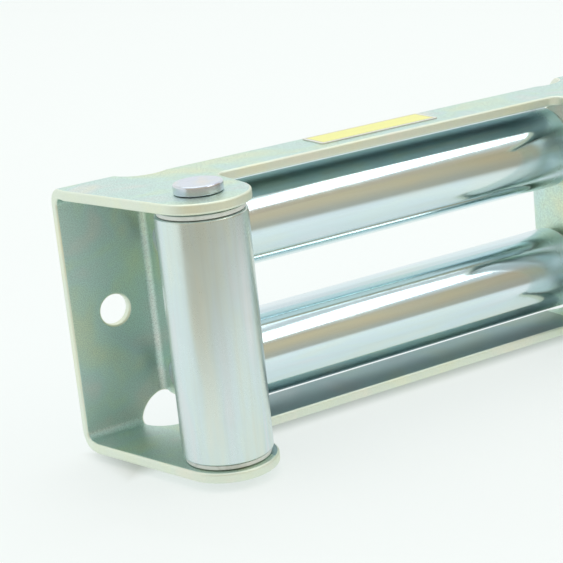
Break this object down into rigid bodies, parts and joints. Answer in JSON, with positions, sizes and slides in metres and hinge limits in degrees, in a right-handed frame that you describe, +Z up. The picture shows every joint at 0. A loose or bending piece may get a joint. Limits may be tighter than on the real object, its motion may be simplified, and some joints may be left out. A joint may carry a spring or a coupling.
{
  "type": "roller fairlead",
  "caption": "Roller fairlead for a winch: a folded steel plate frame whose lying and upright rollers guide the rope and turn freely on pins.",
  "frame": {"origin": "bottom centre of the whole part, under the tails of the upright pins", "axes": "+X along the plate to the right as seen from the front, +Y back to the mounting face, +Z up"},
  "size_m": [0.296, 0.086, 0.1244],
  "materials": {
    "zinc_plate": "satin zinc plating",
    "polished_steel": "bright zinc plating",
    "pin_steel": "zinc plating with a faint lilac cast",
    "spring_steel": "dark phosphated",
    "grey_nylon": "moulded",
    "label_yellow": "vinyl film"
  },
  "bodies": {
    "frame": {"frame": "zinc_plate", "upper_pin": "pin_steel", "upper_clip": "spring_steel", "lower_pin": "pin_steel", "lower_clip": "spring_steel", "left_pin": "pin_steel", "left_clip": "spring_steel", "right_pin": "pin_steel", "right_clip": "spring_steel", "blank_label": "label_yellow"},
    "upper_roller": {"upper_roller": "polished_steel", "upper_left_bush": "grey_nylon", "upper_right_bush": "grey_nylon"},
    "lower_roller": {"lower_roller": "polished_steel", "lower_left_bush": "grey_nylon", "lower_right_bush": "grey_nylon"},
    "left_roller": {"left_roller": "polished_steel", "left_top_bush": "grey_nylon", "left_bottom_bush": "grey_nylon"},
    "right_roller": {"right_roller": "polished_steel", "right_top_bush": "grey_nylon", "right_bottom_bush": "grey_nylon"}
  },
  "joints": [
    {"name": "upper_roller_spin", "type": "hinge", "parent": "frame", "child": "upper_roller", "pos_m": [0, 0.0217, 0.0918], "axis": [1, 0, 0], "continuous": true},
    {"name": "lower_roller_spin", "type": "hinge", "parent": "frame", "child": "lower_roller", "pos_m": [0, 0.0217, 0.0319], "axis": [1, 0, 0], "continuous": true},
    {"name": "left_roller_spin", "type": "hinge", "parent": "frame", "child": "left_roller", "pos_m": [-0.112, -0.022, 0.06185], "axis": [0, 0, 1], "continuous": true},
    {"name": "right_roller_spin", "type": "hinge", "parent": "frame", "child": "right_roller", "pos_m": [0.112, -0.022, 0.06185], "axis": [0, 0, 1], "continuous": true}
  ]
}
